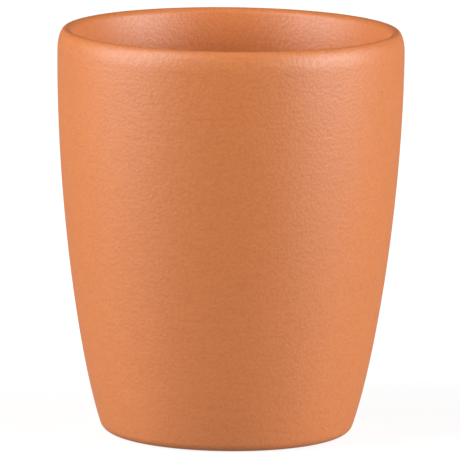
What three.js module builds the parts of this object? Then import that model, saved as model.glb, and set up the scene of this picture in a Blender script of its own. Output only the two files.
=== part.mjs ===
import * as THREE from 'three';

// Handleless espresso cup in millimetres, turned about +Z and standing on z = 0.
// A fired clay body carries three glaze coats: outside, inside, and in the recess underneath.

// Finished cup
const cupHeight = 70.4; // table to the crown of the lip, glaze included
const cupDiameter = 60; // at the widest, just under the lip, glaze included
const glazeThickness = 0.3;

// Clay wall, outside
const heelCentreRadius = 20.05; // from the axis to the centre of the heel's rounding
const heelRadius = 1.75;
const wallLean = 18; // degrees from upright where the wall leaves the heel
const heelPull = 13; // length over which the wall keeps that lean
const bellyPull = 25; // length over which the wall comes upright under the lip

// Lip
const lipShoulderHeight = 3.35; // the outside rounds over to the crown in this height
const lipShoulderWidth = 1.05;
const lipInnerRadius = 0.95; // tighter rounding from the crown into the cup

// Inside
const throatLean = 13; // degrees from upright where the inside leaves the lip
const throatHeight = 8; // the inside comes upright in this height
const wallThickness = 3.2; // clay, at the top of the floor's corner
const floorThickness = 4.2; // clay, between the recess and the inside
const floorCornerHeight = 9; // the wall starts to turn into the floor this far above it
const floorCornerWidth = 8;

// Bare foot ring and the recess inside it
const heelClearance = 0.1; // the glazed heel stands this far above the table
const bareStrip = 0.45; // clay left bare between the glaze's edge and the ring
const footRingWidth = 3.3;
const footEdgeRadius = 0.2;
const ringBareHeight = 0.5; // clay left bare on the ring's inner side
const recessFillet = 0.8;

// Facets around the turn, and steps along each round stretch of the profile
const turnFacets = 48;
const heelSteps = 4;
const wallSteps = 10;
const shoulderSteps = 6;
const lipSteps = 4;
const throatSteps = 3;
const innerWallSteps = 6;
const cornerSteps = 6;
const filletSteps = 3;
const edgeSteps = 3;

// Values that follow from the sizes above
const clayTop = cupHeight - glazeThickness;
const clayRadius = cupDiameter / 2 - glazeThickness;
const shoulderStart = clayTop - lipShoulderHeight;
const crownRadius = clayRadius - lipShoulderWidth;
const lipCentreHeight = clayTop - lipInnerRadius;
const footHeight = heelClearance + glazeThickness;
const footOuterRadius = heelCentreRadius - glazeThickness - bareStrip;
const footInnerRadius = footOuterRadius - footRingWidth;
const recessDepth = ringBareHeight + glazeThickness + recessFillet;
const floorTop = recessDepth + floorThickness;
const lean = THREE.MathUtils.degToRad(wallLean);
const throatTilt = THREE.MathUtils.degToRad(throatLean);
const quarter = Math.PI / 2;

const at = (radius, height) => new THREE.Vector2(radius, height);
const line = (from, to) => new THREE.LineCurve(from, to);

function arc(centre, radiusAcross, radiusUp, from, to) {
  const clockwise = to < from;
  return new THREE.EllipseCurve(centre.x, centre.y, radiusAcross, radiusUp, from, to, clockwise);
}

// Clay outside, from under the heel to the lip's inner edge
const heelCentre = at(heelCentreRadius, footHeight + heelRadius);
const heel = arc(heelCentre, heelRadius, heelRadius, -quarter, -lean);
const wallFoot = heel.getPoint(1);
const wall = new THREE.CubicBezierCurve(
  wallFoot,
  at(wallFoot.x + heelPull * Math.sin(lean), wallFoot.y + heelPull * Math.cos(lean)),
  at(clayRadius, shoulderStart - bellyPull),
  at(clayRadius, shoulderStart),
);
const shoulder = arc(at(crownRadius, shoulderStart), lipShoulderWidth, lipShoulderHeight, 0, quarter);
const lipCentre = at(crownRadius, lipCentreHeight);
const lipInner = arc(lipCentre, lipInnerRadius, lipInnerRadius, quarter, 2 * quarter - throatTilt);

// Outside radius of the clay wall at a height, found by halving along the wall curve
function wallRadiusAt(height) {
  let low = 0;
  let high = 1;
  for (let step = 0; step < 40; step += 1) {
    const middle = (low + high) / 2;
    if (wall.getPoint(middle).y < height) low = middle;
    else high = middle;
  }
  return wall.getPoint(high).x;
}

// The throat leaves the lip leaning inwards and comes upright as the clay grows to its full thickness
const lipEdge = lipInner.getPoint(1);
const throatInset = (throatHeight / 2) * Math.tan(throatTilt);
const throatFoot = at(lipEdge.x - throatInset, lipEdge.y - throatHeight);
const throatBend = at(throatFoot.x, lipEdge.y - throatHeight / 2);
const throat = new THREE.QuadraticBezierCurve(lipEdge, throatBend, throatFoot);
const throatThickness = wallRadiusAt(throatFoot.y) - throatFoot.x;

// Below the throat the inside follows the outside
class InnerWall extends THREE.Curve {
  getPoint(t) {
    const height = THREE.MathUtils.lerp(throatFoot.y, floorTop + floorCornerHeight, t);
    const clay = THREE.MathUtils.lerp(throatThickness, wallThickness, t);
    return at(wallRadiusAt(height) - clay, height);
  }
}
const innerWall = new InnerWall();
const cornerStart = innerWall.getPoint(1);
const cornerSlope = innerWall.getTangent(1);
const cornerRadius = cornerStart.x - (floorCornerHeight * cornerSlope.x) / cornerSlope.y;
const floorEdge = at(cornerRadius - floorCornerWidth, floorTop);
const floorCorner = new THREE.QuadraticBezierCurve(cornerStart, at(cornerRadius, floorTop), floorEdge);
const floor = line(floorEdge, at(0, floorTop));

// Recess underneath, and the edges of the bare foot ring around it
const filletCentre = at(footInnerRadius - recessFillet, recessDepth - recessFillet);
const ceiling = line(at(0, recessDepth), at(filletCentre.x, recessDepth));
const fillet = arc(filletCentre, recessFillet, recessFillet, quarter, 0);
const innerEdgeCentre = at(footInnerRadius + footEdgeRadius, footEdgeRadius);
const outerEdgeCentre = at(footOuterRadius - footEdgeRadius, footEdgeRadius);
const ringInnerEdge = arc(innerEdgeCentre, footEdgeRadius, footEdgeRadius, 2 * quarter, 3 * quarter);
const ringOuterEdge = arc(outerEdgeCentre, footEdgeRadius, footEdgeRadius, -quarter, 0);

// Stations along curves joined end to end: a point on the clay and the way out of the clay there
function stations(...stretches) {
  const list = [];
  for (const [curve, divisions] of stretches) {
    for (let i = list.length ? 1 : 0; i <= divisions; i += 1) {
      const along = curve.getTangent(i / divisions);
      list.push({ point: curve.getPoint(i / divisions), out: at(along.y, -along.x) });
    }
  }
  return list;
}

const bare = (list) => list.map((station) => station.point);
const coated = (list) => list.map(({ point, out }) => point.clone().addScaledVector(out, glazeThickness));

const recess = stations([ceiling, 1], [fillet, filletSteps]);
const outside = stations(
  [heel, heelSteps],
  [wall, wallSteps],
  [shoulder, shoulderSteps],
  [lipInner, lipSteps],
);
const inside = stations(
  [throat, throatSteps],
  [innerWall, innerWallSteps],
  [floorCorner, cornerSteps],
  [floor, 1],
);

// Where a coat stops, its edge is a quarter round on the clay
function glazeEdge(centre) {
  const edge = arc(centre, glazeThickness, glazeThickness, 2 * quarter, 3 * quarter);
  return edge.getPoints(edgeSteps);
}
const heelGlazeEdge = glazeEdge(outside[0].point);
const recessGlazeEdge = glazeEdge(recess.at(-1).point);

const clayProfile = [
  ...bare(recess),
  recessGlazeEdge.at(-1),
  ...ringInnerEdge.getPoints(edgeSteps),
  ...ringOuterEdge.getPoints(edgeSteps),
  at(footOuterRadius, footHeight),
  heelGlazeEdge[0],
  ...bare(outside),
  ...bare(inside).slice(1),
];

const outerGlazeProfile = [
  ...heelGlazeEdge,
  ...coated(outside).slice(1),
  ...bare(outside).reverse(),
  heelGlazeEdge[0],
];

const linerGlazeProfile = [
  ...bare(inside).reverse(),
  ...coated(outside).slice(-1),
  ...coated(inside).slice(1),
];

const undersideGlazeProfile = [
  ...coated(recess),
  ...recessGlazeEdge.slice(1),
  ...bare(recess).reverse(),
];

const stoneware = new THREE.MeshStandardMaterial({ color: 0xb8835f, roughness: 0.9, metalness: 0 });
const satinGlaze = new THREE.MeshStandardMaterial({ color: 0xc9784a, roughness: 0.5, metalness: 0 });

// The lathe turns about Y, so each piece is stood up onto Z
function turned(name, profile, material) {
  const mesh = new THREE.Mesh(new THREE.LatheGeometry(profile, turnFacets), material);
  mesh.name = name;
  mesh.rotation.x = quarter;
  return mesh;
}

const cup = new THREE.Group();
cup.name = 'espresso_cup';
cup.add(turned('clay_body', clayProfile, stoneware));
cup.add(turned('outer_glaze', outerGlazeProfile, satinGlaze));
cup.add(turned('liner_glaze', linerGlazeProfile, satinGlaze));
cup.add(turned('underside_glaze', undersideGlazeProfile, satinGlaze));

export default cup;
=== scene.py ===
import math

import bpy
from mathutils import Matrix, Vector


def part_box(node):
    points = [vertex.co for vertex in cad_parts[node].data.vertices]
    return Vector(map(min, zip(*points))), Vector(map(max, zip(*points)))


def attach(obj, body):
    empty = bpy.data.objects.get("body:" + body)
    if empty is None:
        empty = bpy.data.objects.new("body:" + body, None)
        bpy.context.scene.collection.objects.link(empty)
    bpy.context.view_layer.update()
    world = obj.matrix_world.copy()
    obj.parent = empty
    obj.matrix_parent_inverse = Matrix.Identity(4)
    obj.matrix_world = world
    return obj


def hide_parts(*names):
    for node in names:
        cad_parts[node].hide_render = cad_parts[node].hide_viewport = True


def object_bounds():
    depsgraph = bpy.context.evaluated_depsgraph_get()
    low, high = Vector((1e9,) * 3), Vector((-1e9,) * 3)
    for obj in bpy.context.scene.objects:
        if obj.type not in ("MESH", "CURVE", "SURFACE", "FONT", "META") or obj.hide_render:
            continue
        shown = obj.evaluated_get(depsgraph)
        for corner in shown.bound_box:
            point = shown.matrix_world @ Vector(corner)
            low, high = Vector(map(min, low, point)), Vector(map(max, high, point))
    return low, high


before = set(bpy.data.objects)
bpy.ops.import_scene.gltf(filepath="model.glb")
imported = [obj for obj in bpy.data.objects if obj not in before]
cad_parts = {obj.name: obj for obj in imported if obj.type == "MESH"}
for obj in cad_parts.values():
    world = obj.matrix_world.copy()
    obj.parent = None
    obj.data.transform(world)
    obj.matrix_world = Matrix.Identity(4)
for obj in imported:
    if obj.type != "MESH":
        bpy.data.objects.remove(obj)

mm = 0.001
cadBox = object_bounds()
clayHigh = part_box("clay_body")[1]
outerLow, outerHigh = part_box("outer_glaze")
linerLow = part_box("liner_glaze")[0]
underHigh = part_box("underside_glaze")[1]
print("frame loaded:", len(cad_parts), "nodes")


# Outline helpers: a line is a list of (radius, height) points in millimetres

def arcLine(centre, across, up, start, end, steps):  # degrees, from outwards towards up
    turns = [math.radians(start + (end - start) * i / steps) for i in range(steps + 1)]
    return [Vector((centre[0] + across * math.cos(t), centre[1] + up * math.sin(t))) for t in turns]


def bezierLine(a, b, c, d, steps):
    line = []
    for i in range(steps + 1):
        t = i / steps
        s = 1 - t
        line.append(s ** 3 * a + 3 * s * s * t * b + 3 * s * t * t * c + t ** 3 * d)
    return line


def bendLine(start, corner, end, steps):  # leaves for the corner and comes from it to the end
    return bezierLine(start, (start + 2 * corner) / 3, (end + 2 * corner) / 3, end, steps)


def radiusAt(line, height):
    for low, high in zip(line, line[1:]):
        if low.y <= height <= high.y:
            return low.x + (high.x - low.x) * (height - low.y) / (high.y - low.y)
    return line[-1].x


def shiftLine(line, by):  # moves a line to its left, square to its own run
    moved = []
    for i, point in enumerate(line):
        run = (line[min(i + 1, len(line) - 1)] - line[max(i - 1, 0)]).normalized()
        moved.append(point + by * Vector((-run.y, run.x)))
    return moved


# Outlines of the finished cup, from the frame and a few sizes in millimetres

cupShape = {
    "height": outerHigh.z / mm,
    "radius": outerHigh.x / mm,
    "coat": (outerHigh.z - clayHigh.z) / mm,
    "seat": 0.03,           # hair of air between a coat and the clay, so that they never fight
    "heelCentre": 20.05,
    "heelRound": 2.05,
    "heelLift": outerLow.z / mm,
    "lean": 18,             # degrees from upright, where the wall leaves the heel
    "heelPull": 13,         # length over which the wall keeps that lean
    "bellyPull": 25,        # length over which it comes upright under the lip
    "shoulderHigh": 3.65,
    "shoulderWide": 1.35,
    "lipRound": 1.25,
    "steps": {"heel": 10, "wall": 40, "shoulder": 18, "lip": 12, "bead": 8},
}
insideShape = {
    "throatLean": 13,       # degrees from upright, where the inside leaves the lip
    "throatHigh": 8,        # it comes upright in this height
    "footWall": 3.9,        # clay and both coats, at the top of the floor's corner
    "floor": linerLow.z / mm + cupShape["coat"],
    "cornerHigh": 9,
    "cornerWide": 8,
    "steps": {"throat": 14, "side": 30, "corner": 20, "floor": 5},
}


def outsideLines():
    cup, steps = cupShape, cupShape["steps"]
    heelRound, lipRound = cup["heelRound"], cup["lipRound"]
    heelCentre = (cup["heelCentre"], cup["heelLift"] + heelRound)
    heel = arcLine(heelCentre, heelRound, heelRound, -90, -cup["lean"], steps["heel"])
    lean = math.radians(cup["lean"])
    heelPull = cup["heelPull"] * Vector((math.sin(lean), math.cos(lean)))
    bellyPull = Vector((0, cup["bellyPull"]))
    shoulderFoot = Vector((cup["radius"], cup["height"] - cup["shoulderHigh"]))
    wall = bezierLine(heel[-1], heel[-1] + heelPull, shoulderFoot - bellyPull, shoulderFoot, steps["wall"])
    crown = cup["radius"] - cup["shoulderWide"]
    shoulder = arcLine((crown, shoulderFoot.y), cup["shoulderWide"], cup["shoulderHigh"], 0, 90,
                       steps["shoulder"])
    lipCentre = (crown, cup["height"] - lipRound)
    lip = arcLine(lipCentre, lipRound, lipRound, 90, 180 - insideShape["throatLean"], steps["lip"])
    return wall, heel + wall[1:] + shoulder[1:] + lip[1:]


def insideLine(lipEdge, wall):
    cup, steps = insideShape, insideShape["steps"]
    throatIn = math.tan(math.radians(cup["throatLean"])) * cup["throatHigh"] / 2
    throatFoot = lipEdge - Vector((throatIn, cup["throatHigh"]))
    throatBend = lipEdge - Vector((throatIn, cup["throatHigh"] / 2))
    throat = bendLine(lipEdge, throatBend, throatFoot, steps["throat"])
    throatWall = radiusAt(wall, throatFoot.y) - throatFoot.x
    thickening = cup["footWall"] - throatWall
    sideFoot = cup["floor"] + cup["cornerHigh"]
    side = []
    for i in range(1, steps["side"] + 1):
        t = i / steps["side"]
        height = throatFoot.y + (sideFoot - throatFoot.y) * t
        side.append(Vector((radiusAt(wall, height) - throatWall - thickening * t, height)))
    run = side[-1] - side[-2]
    corner = Vector((side[-1].x - cup["cornerHigh"] * run.x / run.y, cup["floor"]))
    floorEdge = corner - Vector((cup["cornerWide"], 0))
    turn = bendLine(side[-1], corner, floorEdge, steps["corner"])
    middle = Vector((0, cup["floor"]))
    flat = [floorEdge.lerp(middle, i / steps["floor"]) for i in range(1, steps["floor"] + 1)]
    return throat + side + turn[1:] + flat


# Turning: an outline drawn point by point and spun once round the axis

wheel = {
    "steps": 192,
    "weld": 0.002,      # millimetres, points closer than this become one
    "sharp": 40,        # degrees, edges sharper than this stay sharp
}


def turnOnWheel(name, line):
    bpy.ops.object.select_all(action='DESELECT')
    bpy.ops.mesh.primitive_plane_add(size=mm, location=(line[0].x * mm, 0, line[0].y * mm))
    piece = bpy.context.object
    piece.name = piece.data.name = name
    bpy.ops.object.transform_apply(location=True)
    bpy.ops.object.mode_set(mode='EDIT')
    bpy.ops.mesh.merge(type='CENTER')  # down to the one point that draws the outline
    for here, there in zip(line, line[1:]):
        step = (there - here) * mm
        bpy.ops.mesh.extrude_vertices_move(TRANSFORM_OT_translate={"value": (step.x, 0, step.y)})
    bpy.ops.mesh.select_all(action='SELECT')
    bpy.ops.mesh.spin(steps=wheel["steps"], angle=math.tau, center=(0, 0, 0), axis=(0, 0, 1))
    bpy.ops.mesh.select_all(action='SELECT')
    bpy.ops.mesh.remove_doubles(threshold=wheel["weld"] * mm)
    bpy.ops.mesh.normals_make_consistent(inside=False)
    bpy.ops.object.mode_set(mode='OBJECT')
    bpy.ops.object.shade_smooth_by_angle(angle=math.radians(wheel["sharp"]))
    print("turned", name, len(piece.data.polygons), "faces")
    return piece


# The coats and the body

wallLine, outerLine = outsideLines()
innerLine = insideLine(outerLine[-1], wallLine)
fullCoat = cupShape["coat"]
coatDepth = fullCoat - cupShape["seat"]
beadRound, beadSteps = coatDepth / 2, cupShape["steps"]["bead"]

# outer coat: up the outside, over the lip, back down against the clay, with a rolled edge under the heel
outerBack = shiftLine(outerLine, coatDepth)
outerBead = arcLine((outerLine[0] + outerBack[0]) / 2, beadRound, beadRound, 90, 270, beadSteps)
outerGlaze = turnOnWheel("outerGlaze", outerBack[:1] + outerBead[1:-1] + outerLine + outerBack[::-1])

# liner coat: down the inside to the middle of the floor, and back up against the clay
linerBack = shiftLine(innerLine, coatDepth)
linerBack[0] = Vector((outerBack[-1].x, innerLine[0].y))  # level edge, against the outer coat
linerBack[-1] = Vector((0, linerBack[-1].y))
linerGlaze = turnOnWheel("linerGlaze", innerLine[::-1] + linerBack)

# clay body: recess, bare foot ring, heel, wall, lip and floor
footShape = {
    "ringOuter": 19.3,
    "ringInner": 16.0,
    "ringEdge": 0.2,
    "recess": underHigh.z / mm,
    "fillet": 0.8,
    "ceilingRings": (0, 4, 8, 12),      # radii of the points across the recess's ceiling
    "steps": {"fillet": 8, "edge": 6},
}
footSteps = footShape["steps"]
ringOuter, ringInner, ringEdge = footShape["ringOuter"], footShape["ringInner"], footShape["ringEdge"]
recess, filletRound = footShape["recess"], footShape["fillet"]
clayOuter = shiftLine(outerLine, fullCoat)
clayInner = shiftLine(innerLine, fullCoat)
clayInner[-1] = Vector((0, clayInner[-1].y))
ceiling = [Vector((radius, recess)) for radius in footShape["ceilingRings"]]
filletCentre = (ringInner - filletRound, recess - filletRound)
fillet = arcLine(filletCentre, filletRound, filletRound, 90, 0, footSteps["fillet"])
ringInside = arcLine((ringInner + ringEdge, ringEdge), ringEdge, ringEdge, 180, 270, footSteps["edge"])
ringOutside = arcLine((ringOuter - ringEdge, ringEdge), ringEdge, ringEdge, -90, 0, footSteps["edge"])
underHeel = [Vector((ringOuter, clayOuter[0].y))]
clayLine = ceiling + fillet + ringInside + ringOutside + underHeel + clayOuter + clayInner[1:]
clayBody = turnOnWheel("clayBody", clayLine)

# underside coat: the recess ceiling and its fillet, with a rolled edge inside the foot ring
underClay = ceiling + fillet
underFace = shiftLine(underClay, -fullCoat)
underFace[0] = Vector((0, underFace[0].y))
underBack = shiftLine(underClay, -cupShape["seat"])
underBack[0] = Vector((0, underBack[0].y))
underBead = arcLine((underFace[-1] + underBack[-1]) / 2, beadRound, beadRound, 180, 360, beadSteps)
undersideGlaze = turnOnWheel("undersideGlaze", underFace + underBead[1:-1] + underBack[::-1])


# Materials

def linearColor(hexText):  # sRGB hex to the linear colour that a shader takes
    parts = [int(hexText[i:i + 2], 16) / 255 for i in (0, 2, 4)]
    return [c / 12.92 if c <= 0.04045 else ((c + 0.055) / 1.055) ** 2.4 for c in parts] + [1]


def perMm(size):  # texture scale for a feature of this many millimetres
    return 1 / (size * mm)


def addNode(tree, kind, settings=None, links=None, stops=()):
    node = tree.nodes.new(kind)
    for key, value in (settings or {}).items():
        if isinstance(key, int) or key in node.inputs:
            node.inputs[key].default_value = value
        else:
            setattr(node, key, value)
    for key, source in (links or {}).items():
        tree.links.new(source, node.inputs[key])
    for i, (position, color) in enumerate(stops):  # a color ramp starts with two stops
        stop = node.color_ramp.elements[i] if i < 2 else node.color_ramp.elements.new(position)
        stop.position, stop.color = position, color
    return node


def newMaterial(name):
    material = bpy.data.materials.new(name)
    material.use_nodes = True
    material.node_tree.nodes.clear()
    return material, material.node_tree


# Satin stoneware glaze, sprayed and fired: a soft sheen broken by an eggshell grain and by faint lines from
# turning, lightly clouded, with a few pinholes and raised grains
satinGlaze = {
    "deep": "c4713c",
    "body": "c7743e",
    "pale": "ca7740",
    # painted shade that darkens each pinhole, for the shade inside the hole
    "pitShade": "8f4a22",
    "toneStops": (0.35, 0.5, 0.65),     # where the mixed tone is deep, body and pale
    "toneShares": {"cloud": 0.25, "lines": 0.25, "grain": 0.5},
    "cloud": 4,             # millimetres, drift of the tone
    "cloudDetail": 3,
    "cloudRough": 0.6,
    "grain": 0.55,          # millimetres, pebbles of the eggshell grain
    "grainDepth": 0.034,
    "tooth": 0.35,          # millimetres, finer unevenness on the pebbles
    "toothRise": 0.2,       # in grain depths, like the other rises
    "lineHigh": 0.8,        # millimetres, the turning lines across and along their run
    "lineLong": 5,
    "lineRise": 0.6,
    "fineDetail": 1,        # of the tooth and the lines
    "roughGrain": (0.3, 0.7),           # the grain between these takes the roughness from low to high
    "roughLow": 0.45,
    "roughHigh": 0.53,
    "ior": 1.6,
    "marks": [              # azimuth in degrees, height on the wall and radius in millimetres, rise
        (59.7, 61.85, 0.32, -1.0),
        (60.9, 58.7, 0.32, -0.4),
        (-39.9, 30.1, 0.28, 1.2),
        (-40.4, 15.0, 0.3, 0.4),
        (-18.3, 46.3, 0.3, 0.7),
        (2.0, 11.5, 0.3, 0.4),
    ],
}


def toward(azimuth, elevation):  # way out from the axis, azimuth in degrees from the camera's side
    turn, tilt = math.radians(azimuth), math.radians(elevation)
    return Vector((math.sin(turn) * math.cos(tilt), -math.cos(turn) * math.cos(tilt), math.sin(tilt)))


def onWall(azimuth, height):
    return (radiusAt(wallLine, height) * toward(azimuth, 0) + Vector((0, 0, height))) * mm


def makeSatinGlaze(name, look):
    material, tree = newMaterial(name)
    place = addNode(tree, "ShaderNodeTexCoord").outputs["Object"]
    cloud = addNode(tree, "ShaderNodeTexNoise",
                    {"Scale": perMm(look["cloud"]), "Detail": look["cloudDetail"],
                     "Roughness": look["cloudRough"]}, {"Vector": place}).outputs["Fac"]
    pebble = addNode(tree, "ShaderNodeTexVoronoi", {"Scale": perMm(look["grain"])}, {"Vector": place})
    grain = addNode(tree, "ShaderNodeMapRange", {"From Min": 0, "From Max": 1, "To Min": 1, "To Max": 0},
                    {"Value": pebble.outputs["Distance"]}).outputs["Result"]
    tooth = addNode(tree, "ShaderNodeTexNoise", {"Scale": perMm(look["tooth"]), "Detail": look["fineDetail"]},
                    {"Vector": place}).outputs["Fac"]
    along, across = perMm(look["lineLong"]), perMm(look["lineHigh"])
    stretch = addNode(tree, "ShaderNodeMapping", {"Scale": (along, along, across)}, {"Vector": place})
    lines = addNode(tree, "ShaderNodeTexNoise", {"Scale": 1, "Detail": look["fineDetail"]},
                    {"Vector": stretch.outputs["Vector"]}).outputs["Fac"]

    # colour: cloud, lines and grain by their shares, on a ramp of three close shades
    shares = look["toneShares"]
    tone = addNode(tree, "ShaderNodeMath", {"operation": 'MULTIPLY', 1: shares["cloud"]},
                   {0: cloud}).outputs[0]
    for source, share in ((lines, shares["lines"]), (grain, shares["grain"])):
        tone = addNode(tree, "ShaderNodeMath", {"operation": 'MULTIPLY_ADD', 1: share},
                       {0: source, 2: tone}).outputs[0]
    shades = [linearColor(look[shade]) for shade in ("deep", "body", "pale")]
    color = addNode(tree, "ShaderNodeValToRGB", None, {"Fac": tone},
                    zip(look["toneStops"], shades)).outputs["Color"]

    # height: grain with its tooth and the lines, then each mark
    height = grain
    for source, rise in ((tooth, look["toothRise"]), (lines, look["lineRise"])):
        height = addNode(tree, "ShaderNodeMath", {"operation": 'MULTIPLY_ADD', 1: rise},
                         {0: source, 2: height}).outputs[0]
    for azimuth, high, radius, rise in look["marks"]:
        apart = addNode(tree, "ShaderNodeVectorMath", {"operation": 'DISTANCE', 1: onWall(azimuth, high)},
                        {0: place})
        mark = addNode(tree, "ShaderNodeMapRange",
                       {"interpolation_type": 'SMOOTHSTEP', "From Min": 0, "From Max": radius * mm,
                        "To Min": 1, "To Max": 0}, {"Value": apart.outputs["Value"]}).outputs["Result"]
        height = addNode(tree, "ShaderNodeMath", {"operation": 'MULTIPLY_ADD', 1: rise},
                         {0: mark, 2: height}).outputs[0]
        if rise < 0:  # painted shade: a pinhole's colour is darkened towards the pit shade, for the shade inside the hole
            deep = addNode(tree, "ShaderNodeMath", {"operation": 'MULTIPLY', 1: -rise}, {0: mark}).outputs[0]
            color = addNode(tree, "ShaderNodeMix", {"data_type": 'RGBA', 7: linearColor(look["pitShade"])},
                            {0: deep, 6: color}).outputs[2]
    bump = addNode(tree, "ShaderNodeBump", {"Strength": 1, "Distance": look["grainDepth"] * mm},
                   {"Height": height})

    roughFrom, roughTo = look["roughGrain"]
    rough = addNode(tree, "ShaderNodeMapRange",
                    {"From Min": roughFrom, "From Max": roughTo, "To Min": look["roughLow"],
                     "To Max": look["roughHigh"]}, {"Value": grain})
    shader = addNode(tree, "ShaderNodeBsdfPrincipled", {"IOR": look["ior"]},
                     {"Base Color": color, "Roughness": rough.outputs["Result"],
                      "Normal": bump.outputs["Normal"]})
    addNode(tree, "ShaderNodeOutputMaterial", None, {"Surface": shader.outputs["BSDF"]})
    return material


# Bare fired stoneware, wiped and sanded on the foot: dry, sandy, with small grog specks
bareClay = {
    "clay": "b98763",
    "dust": "c99b78",
    "grog": "7d5842",
    "toneStops": (0.35, 0.68),      # where the sand's noise is clay and dust
    "sand": 0.35,                   # millimetres
    "sandDetail": 3,
    "sandDepth": 0.03,
    "speck": 0.9,                   # millimetres from speck to speck
    "speckCore": 0.1,               # in those, full grog up to here
    "speckEdge": 0.16,              # and none from here
    "speckShare": 0.8,
    "rough": 0.88,
}


def makeBareClay(name, look):
    material, tree = newMaterial(name)
    place = addNode(tree, "ShaderNodeTexCoord").outputs["Object"]
    sand = addNode(tree, "ShaderNodeTexNoise", {"Scale": perMm(look["sand"]), "Detail": look["sandDetail"]},
                   {"Vector": place}).outputs["Fac"]
    grog = addNode(tree, "ShaderNodeTexVoronoi", {"Scale": perMm(look["speck"])}, {"Vector": place})
    shades = [linearColor(look[shade]) for shade in ("clay", "dust")]
    tone = addNode(tree, "ShaderNodeValToRGB", None, {"Fac": sand}, zip(look["toneStops"], shades))
    spot = addNode(tree, "ShaderNodeMapRange",
                   {"From Min": look["speckCore"], "From Max": look["speckEdge"],
                    "To Min": look["speckShare"], "To Max": 0}, {"Value": grog.outputs["Distance"]})
    mixed = addNode(tree, "ShaderNodeMix", {"data_type": 'RGBA', 7: linearColor(look["grog"])},
                    {0: spot.outputs["Result"], 6: tone.outputs["Color"]})
    bump = addNode(tree, "ShaderNodeBump", {"Strength": 1, "Distance": look["sandDepth"] * mm},
                   {"Height": sand})
    shader = addNode(tree, "ShaderNodeBsdfPrincipled", {"Roughness": look["rough"]},
                     {"Base Color": mixed.outputs[2], "Normal": bump.outputs["Normal"]})
    addNode(tree, "ShaderNodeOutputMaterial", None, {"Surface": shader.outputs["BSDF"]})
    return material


glazeMaterial = makeSatinGlaze("satinStonewareGlaze", satinGlaze)
clayMaterial = makeBareClay("bareStoneware", bareClay)

dressing = [
    (outerGlaze, "outer_glaze", "outer_glaze", glazeMaterial),
    (linerGlaze, "liner_glaze", "liner_glaze", glazeMaterial),
    (undersideGlaze, "underside_glaze", "underside_glaze", glazeMaterial),
    (clayBody, "clay_body", "bare_clay", clayMaterial),
]
for piece, node, slot, material in dressing:
    piece.data.materials.clear()
    piece.data.materials.append(material)
    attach(piece, "root")
    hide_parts(node)
print("dressed", len(dressing), "pieces")


# Studio: a white table and background for the camera, softboxes at both sides and above them, a fill behind
# and a narrow lamp over the mouth

studio = {
    "tableSize": 6,
    "tableGap": 0.02,       # millimetres, hair of air under the foot ring
    "sheetColor": "595959",
    "sheetRough": 0.25,
    "sheetIor": 1.5,
    "mattColor": "6c6c6c",
    "sheetGlow": 0.97,      # white that the table shows the camera of itself, the lamps add the rest
    "footGlow": 0.88,       # the same close to the cup, where the lamps' share lets the shadow show
    "poolFill": 0.24,       # strength at which the sheet itself glows under and around the cup, a pool of light on the heel
    "poolInner": 50,        # millimetres, glow and pool change between these two radii
    "poolOuter": 110,
    "skyColor": "ffffff",
    "sheetSheen": 0.23,     # strength at which the glaze's sheen mirrors the table
    "skyFill": 0.05,        # strength at which the room lights the cup
    "skySheen": 0.1,        # strength at which the glaze's sheen mirrors the room
}


# 1 for what the camera sees straight or through glass, the sheen for what gloss mirrors, 0 for the rest
def shownLevel(tree, sheen):
    ray = addNode(tree, "ShaderNodeLightPath").outputs
    seen = addNode(tree, "ShaderNodeMath", {"operation": 'MAXIMUM'},
                   {0: ray["Is Camera Ray"], 1: ray["Is Transmission Ray"]}).outputs[0]
    gloss = addNode(tree, "ShaderNodeMath", {"operation": 'MULTIPLY', 1: sheen},
                    {0: ray["Is Glossy Ray"]}).outputs[0]
    return addNode(tree, "ShaderNodeMath", {"operation": 'MAXIMUM'}, {0: seen, 1: gloss}).outputs[0]


# White acrylic sheet, polished, that glows by itself around the cup: the glow lights the heel, and the sheet
# throws the side lamps up under the belly; the camera is shown it matt and white
def makeAcrylic(name, look):
    material, tree = newMaterial(name)
    place = addNode(tree, "ShaderNodeTexCoord").outputs["Object"]
    away = addNode(tree, "ShaderNodeVectorMath", {"operation": 'LENGTH'}, {0: place}).outputs["Value"]
    fade = {"interpolation_type": 'SMOOTHSTEP', "From Min": look["poolInner"] * mm,
            "From Max": look["poolOuter"] * mm}
    white = addNode(tree, "ShaderNodeMapRange",
                    {**fade, "To Min": look["footGlow"], "To Max": look["sheetGlow"]}, {"Value": away})
    pool = addNode(tree, "ShaderNodeMapRange", {**fade, "To Min": look["poolFill"], "To Max": 0},
                   {"Value": away})
    shown = addNode(tree, "ShaderNodeMath", {"operation": 'MULTIPLY'},
                    {0: white.outputs["Result"], 1: shownLevel(tree, look["sheetSheen"])})
    glowLevel = addNode(tree, "ShaderNodeMath", {"operation": 'MAXIMUM'},
                        {0: shown.outputs[0], 1: pool.outputs["Result"]})
    matt = addNode(tree, "ShaderNodeBsdfDiffuse", {"Color": linearColor(look["mattColor"])})
    polished = addNode(tree, "ShaderNodeBsdfPrincipled",
                       {"Base Color": linearColor(look["sheetColor"]), "Roughness": look["sheetRough"],
                        "IOR": look["sheetIor"]})
    ray = addNode(tree, "ShaderNodeLightPath").outputs
    sheet = addNode(tree, "ShaderNodeMixShader", None,
                    {0: ray["Is Camera Ray"], 1: polished.outputs[0], 2: matt.outputs[0]})
    glow = addNode(tree, "ShaderNodeEmission", None, {"Strength": glowLevel.outputs[0]})
    both = addNode(tree, "ShaderNodeAddShader", None, {0: sheet.outputs[0], 1: glow.outputs[0]})
    addNode(tree, "ShaderNodeOutputMaterial", None, {"Surface": both.outputs[0]})
    return material


bpy.ops.object.select_all(action='DESELECT')
bpy.ops.mesh.primitive_plane_add(size=studio["tableSize"], location=(0, 0, -studio["tableGap"] * mm))
table = bpy.context.object
table.name = table.data.name = "studioTable"
table.data.materials.append(makeAcrylic("polishedWhiteAcrylic", studio))

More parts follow.
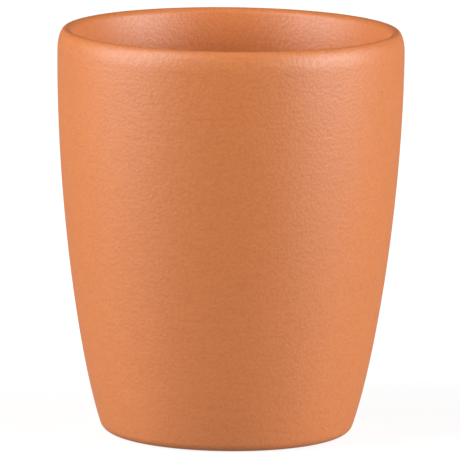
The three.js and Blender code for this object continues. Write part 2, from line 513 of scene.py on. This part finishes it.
world = bpy.data.worlds.new("whiteRoom")
bpy.context.scene.world = world
world.use_nodes = True
tree = world.node_tree
tree.nodes.clear()
roomLevel = addNode(tree, "ShaderNodeMath", {"operation": 'MAXIMUM', 1: studio["skyFill"]},
                    {0: shownLevel(tree, studio["skySheen"])})
sky = addNode(tree, "ShaderNodeBackground", {"Color": linearColor(studio["skyColor"])},
              {"Strength": roomLevel.outputs[0]})
addNode(tree, "ShaderNodeOutputWorld", None, {"Surface": sky.outputs[0]})
print("table and room set up")

softboxes = {   # azimuth and elevation in degrees, distance and size in metres, power in watts
    "keyLeft": {"azimuth": -61, "elevation": 14, "distance": 0.9, "size": (0.36, 0.42), "power": 3.75},
    "keyRight": {"azimuth": 61, "elevation": 14, "distance": 0.9, "size": (0.36, 0.42), "power": 5.6},
    "sideLeft": {"azimuth": -84, "elevation": 14, "distance": 0.9, "size": (0.36, 0.42), "power": 3.8},
    "sideRight": {"azimuth": 84, "elevation": 14, "distance": 0.9, "size": (0.36, 0.42), "power": 4.1},
    "upperLeft": {"azimuth": -55, "elevation": 38, "distance": 0.9, "size": (0.4, 0.36), "power": 4.15},
    "upperRight": {"azimuth": 55, "elevation": 38, "distance": 0.9, "size": (0.4, 0.36), "power": 1.15},
    "rearFill": {"azimuth": 180, "elevation": 6, "distance": 1.5, "size": (1.6, 0.3), "power": 12,
                 "unseen": True},
}
cupMiddle = Vector((0, 0, cadBox[1].z / 2))
for name, box in softboxes.items():
    way = toward(box["azimuth"], box["elevation"])
    bpy.ops.object.light_add(type='AREA', location=cupMiddle + box["distance"] * way)
    lamp = bpy.context.object
    lamp.name = name
    lamp.rotation_euler = way.to_track_quat('Z', 'Y').to_euler()
    lamp.data.shape = 'RECTANGLE'
    lamp.data.size, lamp.data.size_y = box["size"]
    lamp.data.energy = box["power"]
    if box.get("unseen"):  # lights the back of the cup, with no glare along the lip
        lamp.visible_camera = lamp.visible_glossy = False

snoot = {   # narrow lamp straight over the mouth, it lights the floor inside and stays off the lip
    "height": 0.9,
    "reach": 24,        # millimetres from the axis, at the height of the lip
    "power": 26,
    "softEdge": 1,      # share of the beam that fades out
    "lampRadius": 0.01,
}
bpy.ops.object.light_add(type='SPOT', location=(0, 0, snoot["height"]))
lamp = bpy.context.object
lamp.name = "snoot"
lamp.data.energy = snoot["power"]
lamp.data.spot_size = 2 * math.atan(snoot["reach"] * mm / (snoot["height"] - cadBox[1].z))
lamp.data.spot_blend = snoot["softEdge"]
lamp.data.shadow_soft_size = snoot["lampRadius"]
lamp.visible_glossy = False
print("lit with", len(softboxes), "softboxes and a snoot")


# Camera: a long lens a little above the lip, rolled slightly as in the photograph

view = {
    "distance": 1.3,
    "elevation": 9.27,
    "roll": 0.706,
    "aim": (0.2, 0, 35.24),     # millimetres
    "focal": 7497,              # pixels of a frame this wide
    "frame": 460,
    "clip": (0.05, 20),
}
bpy.ops.object.camera_add()
camera = bpy.context.object
camera.name = "photoCamera"
camera.location = Vector(view["aim"]) * mm + view["distance"] * toward(0, view["elevation"])
tilt, roll = math.radians(90 - view["elevation"]), math.radians(view["roll"])
camera.rotation_euler = (Matrix.Rotation(tilt, 3, 'X') @ Matrix.Rotation(roll, 3, 'Z')).to_euler()
camera.data.lens = view["focal"] * camera.data.sensor_width / view["frame"]
camera.data.clip_start, camera.data.clip_end = view["clip"]
bpy.context.scene.camera = camera
print("camera set up")

bpy.context.scene.view_settings.view_transform = 'Standard'
